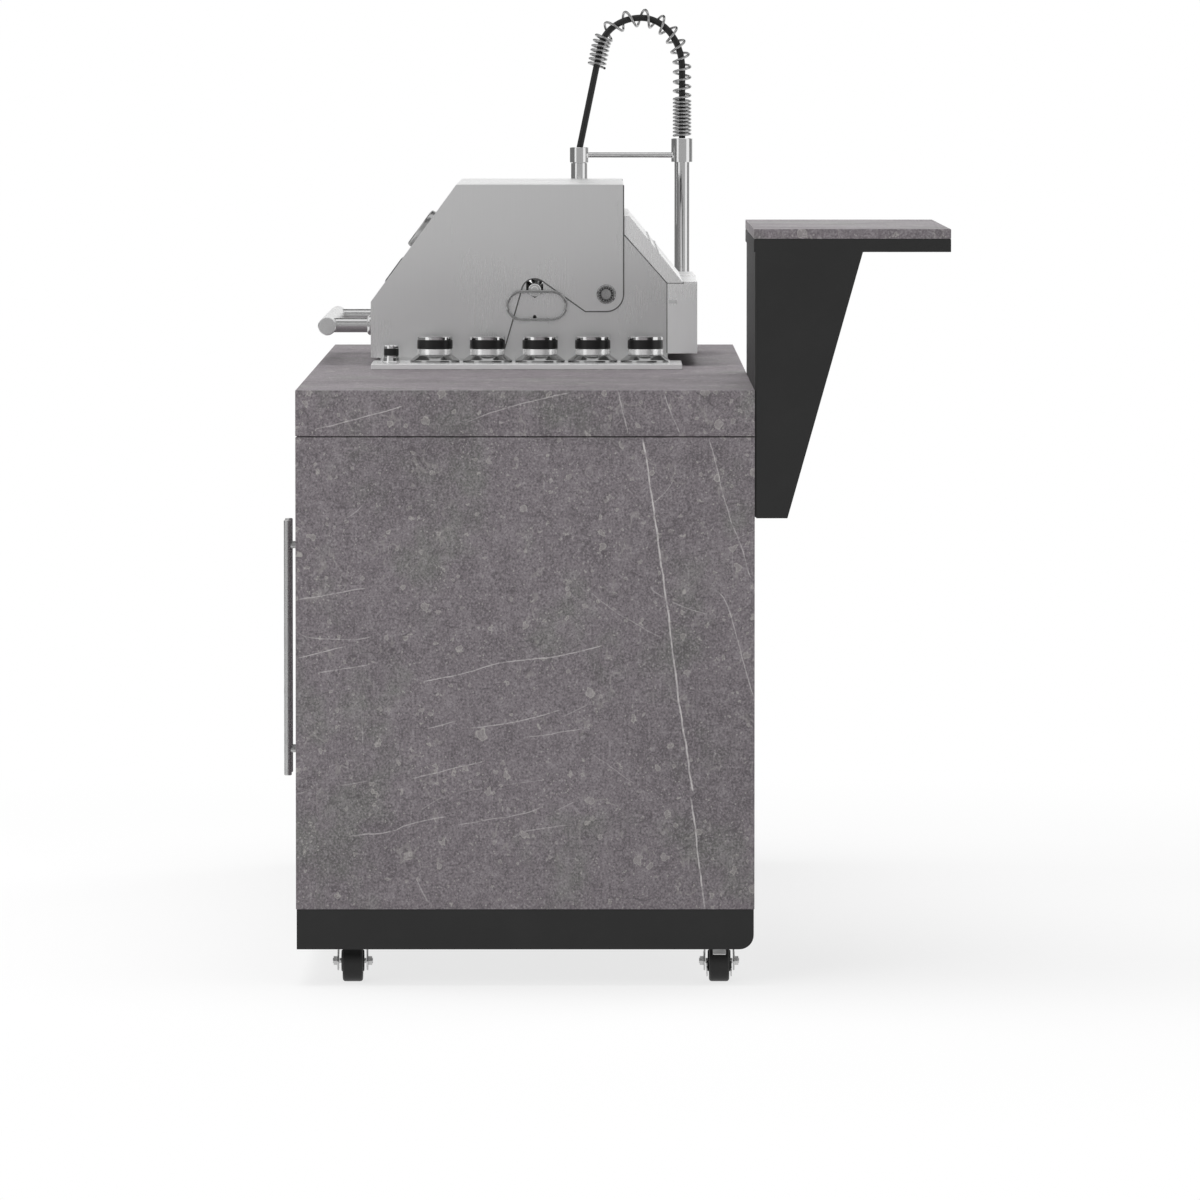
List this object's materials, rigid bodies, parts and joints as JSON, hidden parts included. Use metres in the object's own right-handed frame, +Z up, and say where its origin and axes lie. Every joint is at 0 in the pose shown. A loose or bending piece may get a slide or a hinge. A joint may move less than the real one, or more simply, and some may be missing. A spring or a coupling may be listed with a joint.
{
  "type": "outdoor kitchen island",
  "caption": "Stone clad outdoor kitchen on casters with a built in gas grill under a hinged hood, a sink with a spring faucet, cabinet doors and a raised bar shelf behind.",
  "frame": {"origin": "on the ground, under the middle of the whole island's box", "axes": "+X along the island towards its bar end, +Y towards the bar shelf, away from the cook, +Z up"},
  "size_m": [2.4, 1.0284, 1.4986],
  "materials": {
    "fossil_stone": "honed fossil limestone, purple grey with pale veins",
    "bar_stone": "honed grey stone slab",
    "black_paint": "satin black powder coat",
    "brushed_steel": "fine brushed",
    "chrome": "polished",
    "zinc_plate": "bright zinc plate",
    "cast_iron": "matt",
    "wheel_rubber": "matt black",
    "hose_rubber": "smooth black",
    "brass": "plain machined"
  },
  "bodies": {
    "island": {"worktop": "fossil_stone", "right_end_panel": "fossil_stone", "left_end_panel": "fossil_stone", "back_panel": "fossil_stone", "bar_divider": "zinc_plate", "sink_divider": "zinc_plate", "base_plinth": "black_paint", "cabinet_floor": "zinc_plate", "door_frame": "black_paint", "bar_top": "bar_stone", "bar_bracket": "black_paint", "firebox": "brushed_steel", "hood_hinge_rod": "chrome", "rear_housing": "brushed_steel", "control_deck": "brushed_steel", "burner_set": "brushed_steel", "gas_manifold": "brass", "cooking_grate_1": "cast_iron", "cooking_grate_2": "cast_iron", "side_loop": "chrome", "sink_bowl": "brushed_steel", "sink_strainer": "chrome", "faucet_base": "chrome"},
    "hood": {"hood": "brushed_steel", "hood_handle": "brushed_steel", "thermometer": "chrome"},
    "door_1": {"door_1": "fossil_stone", "door_handle_1": "brushed_steel"},
    "door_2": {"door_2": "fossil_stone", "door_handle_2": "brushed_steel"},
    "door_3": {"door_3": "fossil_stone", "door_handle_3": "brushed_steel"},
    "door_4": {"door_4": "fossil_stone", "door_handle_4": "brushed_steel"},
    "door_5": {"door_5": "fossil_stone", "door_handle_5": "brushed_steel"},
    "knob_1": {"knob_1": "chrome"},
    "knob_2": {"knob_2": "chrome"},
    "knob_3": {"knob_3": "chrome"},
    "knob_4": {"knob_4": "chrome"},
    "knob_5": {"knob_5": "chrome"},
    "igniter": {"igniter_button": "chrome"},
    "spit": {"spit_rod": "brushed_steel"},
    "faucet": {"faucet_column": "chrome", "faucet_spring": "chrome", "faucet_hose": "hose_rubber", "spray_head": "chrome"},
    "lever": {"faucet_lever": "chrome"},
    "caster_1": {"caster_fork_1": "zinc_plate"},
    "wheel_1": {"caster_wheel_1": "wheel_rubber"},
    "caster_2": {"caster_fork_2": "zinc_plate"},
    "wheel_2": {"caster_wheel_2": "wheel_rubber"},
    "caster_3": {"caster_fork_3": "zinc_plate"},
    "wheel_3": {"caster_wheel_3": "wheel_rubber"},
    "caster_4": {"caster_fork_4": "zinc_plate"},
    "wheel_4": {"caster_wheel_4": "wheel_rubber"},
    "caster_5": {"caster_fork_5": "zinc_plate"},
    "wheel_5": {"caster_wheel_5": "wheel_rubber"},
    "caster_6": {"caster_fork_6": "zinc_plate"},
    "wheel_6": {"caster_wheel_6": "wheel_rubber"}
  },
  "joints": [
    {"name": "hood_hinge", "type": "hinge", "parent": "island", "child": "hood", "pos_m": [0, -0.0089, 1.0274], "axis": [-1, 0, 0], "range_deg": [0, 90]},
    {"name": "door_hinge_1", "type": "hinge", "parent": "island", "child": "door_1", "pos_m": [1.173, -0.4782, 0.478], "axis": [0, 0, 1], "range_deg": [0, 90]},
    {"name": "door_hinge_2", "type": "hinge", "parent": "island", "child": "door_2", "pos_m": [0.327, -0.4782, 0.478], "axis": [0, 0, -1], "range_deg": [0, 90]},
    {"name": "door_hinge_3", "type": "hinge", "parent": "island", "child": "door_3", "pos_m": [0.273, -0.4782, 0.478], "axis": [0, 0, 1], "range_deg": [0, 90]},
    {"name": "door_hinge_4", "type": "hinge", "parent": "island", "child": "door_4", "pos_m": [-0.771, -0.4782, 0.478], "axis": [0, 0, -1], "range_deg": [0, 90]},
    {"name": "door_hinge_5", "type": "hinge", "parent": "island", "child": "door_5", "pos_m": [-1.173, -0.4782, 0.478], "axis": [0, 0, -1], "range_deg": [0, 90]},
    {"name": "knob_turn_1", "type": "hinge", "parent": "island", "child": "knob_1", "pos_m": [0.114, -0.2882, 0.93], "axis": [0, 0, 1], "range_deg": [0, 135]},
    {"name": "knob_turn_2", "type": "hinge", "parent": "island", "child": "knob_2", "pos_m": [0.114, -0.2025, 0.93], "axis": [0, 0, 1], "range_deg": [0, 135]},
    {"name": "knob_turn_3", "type": "hinge", "parent": "island", "child": "knob_3", "pos_m": [0.114, -0.1168, 0.93], "axis": [0, 0, 1], "range_deg": [0, 135]},
    {"name": "knob_turn_4", "type": "hinge", "parent": "island", "child": "knob_4", "pos_m": [0.114, -0.0311, 0.93], "axis": [0, 0, 1], "range_deg": [0, 135]},
    {"name": "knob_turn_5", "type": "hinge", "parent": "island", "child": "knob_5", "pos_m": [0.114, 0.0546, 0.93], "axis": [0, 0, 1], "range_deg": [0, 135]},
    {"name": "igniter_press", "type": "slide", "parent": "island", "child": "igniter", "axis": [0, 0, -1], "range_m": [0, 0.004], "stiffness_N_per_m": 500},
    {"name": "spit_spin", "type": "hinge", "parent": "island", "child": "spit", "pos_m": [-0.39, -0.1262, 1.0342], "axis": [1, 0, 0], "continuous": true},
    {"name": "faucet_swivel", "type": "hinge", "parent": "island", "child": "faucet", "pos_m": [-0.99, 0.1242, 1.038], "axis": [0, 0, 1], "range_deg": [-60, 60]},
    {"name": "lever_lift", "type": "hinge", "parent": "island", "child": "lever", "pos_m": [-0.95, 0.1242, 0.972], "axis": [-1, 0, 0], "range_deg": [0, 60]},
    {"name": "caster_swivel_1", "type": "hinge", "parent": "island", "child": "caster_1", "pos_m": [1.094, -0.3992, 0.08], "axis": [0, 0, 1], "continuous": true},
    {"name": "wheel_spin_1", "type": "hinge", "parent": "caster_1", "child": "wheel_1", "pos_m": [1.118, -0.3992, 0.03175], "axis": [0, 1, 0], "continuous": true},
    {"name": "caster_swivel_2", "type": "hinge", "parent": "island", "child": "caster_2", "pos_m": [1.094, 0.1628, 0.08], "axis": [0, 0, 1], "continuous": true},
    {"name": "wheel_spin_2", "type": "hinge", "parent": "caster_2", "child": "wheel_2", "pos_m": [1.118, 0.1628, 0.03175], "axis": [0, 1, 0], "continuous": true},
    {"name": "caster_swivel_3", "type": "hinge", "parent": "island", "child": "caster_3", "pos_m": [0, -0.3992, 0.08], "axis": [0, 0, 1], "continuous": true},
    {"name": "wheel_spin_3", "type": "hinge", "parent": "caster_3", "child": "wheel_3", "pos_m": [0.024, -0.3992, 0.03175], "axis": [0, 1, 0], "continuous": true},
    {"name": "caster_swivel_4", "type": "hinge", "parent": "island", "child": "caster_4", "pos_m": [0, 0.1628, 0.08], "axis": [0, 0, 1], "continuous": true},
    {"name": "wheel_spin_4", "type": "hinge", "parent": "caster_4", "child": "wheel_4", "pos_m": [0.024, 0.1628, 0.03175], "axis": [0, 1, 0], "continuous": true},
    {"name": "caster_swivel_5", "type": "hinge", "parent": "island", "child": "caster_5", "pos_m": [-1.094, -0.3992, 0.08], "axis": [0, 0, 1], "continuous": true},
    {"name": "wheel_spin_5", "type": "hinge", "parent": "caster_5", "child": "wheel_5", "pos_m": [-1.07, -0.3992, 0.03175], "axis": [0, 1, 0], "continuous": true},
    {"name": "caster_swivel_6", "type": "hinge", "parent": "island", "child": "caster_6", "pos_m": [-1.094, 0.1628, 0.08], "axis": [0, 0, 1], "continuous": true},
    {"name": "wheel_spin_6", "type": "hinge", "parent": "caster_6", "child": "wheel_6", "pos_m": [-1.07, 0.1628, 0.03175], "axis": [0, 1, 0], "continuous": true}
  ]
}
